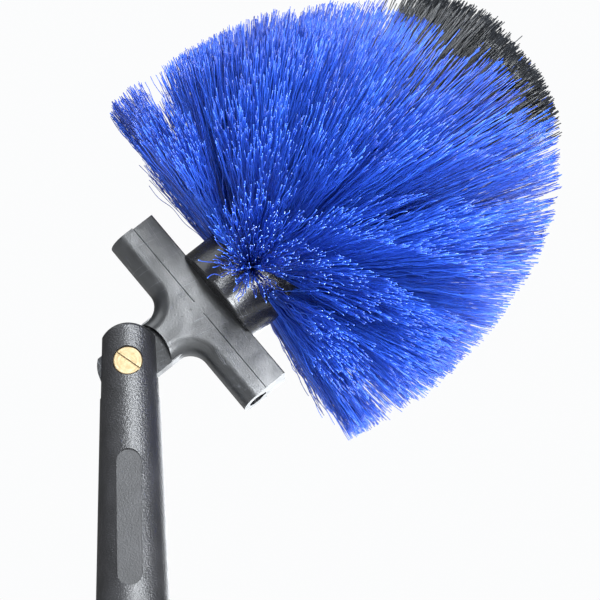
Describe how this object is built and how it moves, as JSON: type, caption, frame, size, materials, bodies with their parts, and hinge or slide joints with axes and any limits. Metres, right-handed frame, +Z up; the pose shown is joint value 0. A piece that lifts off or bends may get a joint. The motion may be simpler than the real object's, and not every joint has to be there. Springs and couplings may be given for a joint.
{
  "type": "swivel dusting brush head",
  "caption": "Domed dusting brush with radiating filament tufts on a friction swivel head, with a tapered socket for an extension pole.",
  "frame": {"origin": "centre of the pole socket's mouth", "axes": "+Z up the handle's axis, away from the pole; Y is the swivel axis, with the screw's slotted head on -Y; X completes the frame, and the head leans 52.5 degrees towards +X at rest"},
  "size_m": [0.2365, 0.214, 0.3351],
  "materials": {
    "textured_nylon": "black glass-filled nylon with a fine moulded texture, satin",
    "moulded_head": "smooth black moulded plastic, satin, with light scuffs",
    "brass": "turned brass, semi-bright",
    "washer_fibre": "natural fibre",
    "core": "black, semi-gloss",
    "screw_steel": "zinc-plated",
    "anchor_wire": "bright wire",
    "blue_filament": "glossy, slightly translucent blue filament",
    "black_filament": "glossy black filament"
  },
  "bodies": {
    "handle": {"handle_socket": "textured_nylon", "pivot_screw": "brass", "pivot_nut": "brass", "friction_washers": "washer_fibre"},
    "head": {"anchor_wires_row1": "anchor_wire", "anchor_wires_row2": "anchor_wire", "anchor_wires_row3": "anchor_wire", "anchor_wires_row4": "anchor_wire", "anchor_wires_row5": "anchor_wire", "black_tuft_row5_1": "black_filament", "black_tuft_row5_2": "black_filament", "black_tuft_row5_3": "black_filament", "blue_tuft_row1_1": "blue_filament", "blue_tuft_row1_2": "blue_filament", "blue_tuft_row1_3": "blue_filament", "blue_tuft_row1_4": "blue_filament", "blue_tuft_row1_5": "blue_filament", "blue_tuft_row1_6": "blue_filament", "blue_tuft_row1_7": "blue_filament", "blue_tuft_row1_8": "blue_filament", "blue_tuft_row2_1": "blue_filament", "blue_tuft_row2_2": "blue_filament", "blue_tuft_row2_3": "blue_filament", "blue_tuft_row2_4": "blue_filament", "blue_tuft_row2_5": "blue_filament", "blue_tuft_row2_6": "blue_filament", "blue_tuft_row2_7": "blue_filament", "blue_tuft_row2_8": "blue_filament", "blue_tuft_row3_1": "blue_filament", "blue_tuft_row3_2": "blue_filament", "blue_tuft_row3_3": "blue_filament", "blue_tuft_row3_4": "blue_filament", "blue_tuft_row3_5": "blue_filament", "blue_tuft_row3_6": "blue_filament", "blue_tuft_row3_7": "blue_filament", "blue_tuft_row3_8": "blue_filament", "blue_tuft_row4_1": "blue_filament", "blue_tuft_row4_2": "blue_filament", "blue_tuft_row4_3": "blue_filament", "blue_tuft_row4_4": "blue_filament", "blue_tuft_row4_5": "blue_filament", "blue_tuft_row4_6": "blue_filament", "brush_core": "core", "core_screws": "screw_steel", "face_strip": "moulded_head", "swivel_head": "moulded_head"}
  },
  "joints": [
    {"name": "head_swivel", "type": "hinge", "parent": "handle", "child": "head", "pos_m": [0, 0, 0.144], "axis": [0, 1, 0], "range_deg": [-142.5, 37.5]}
  ]
}
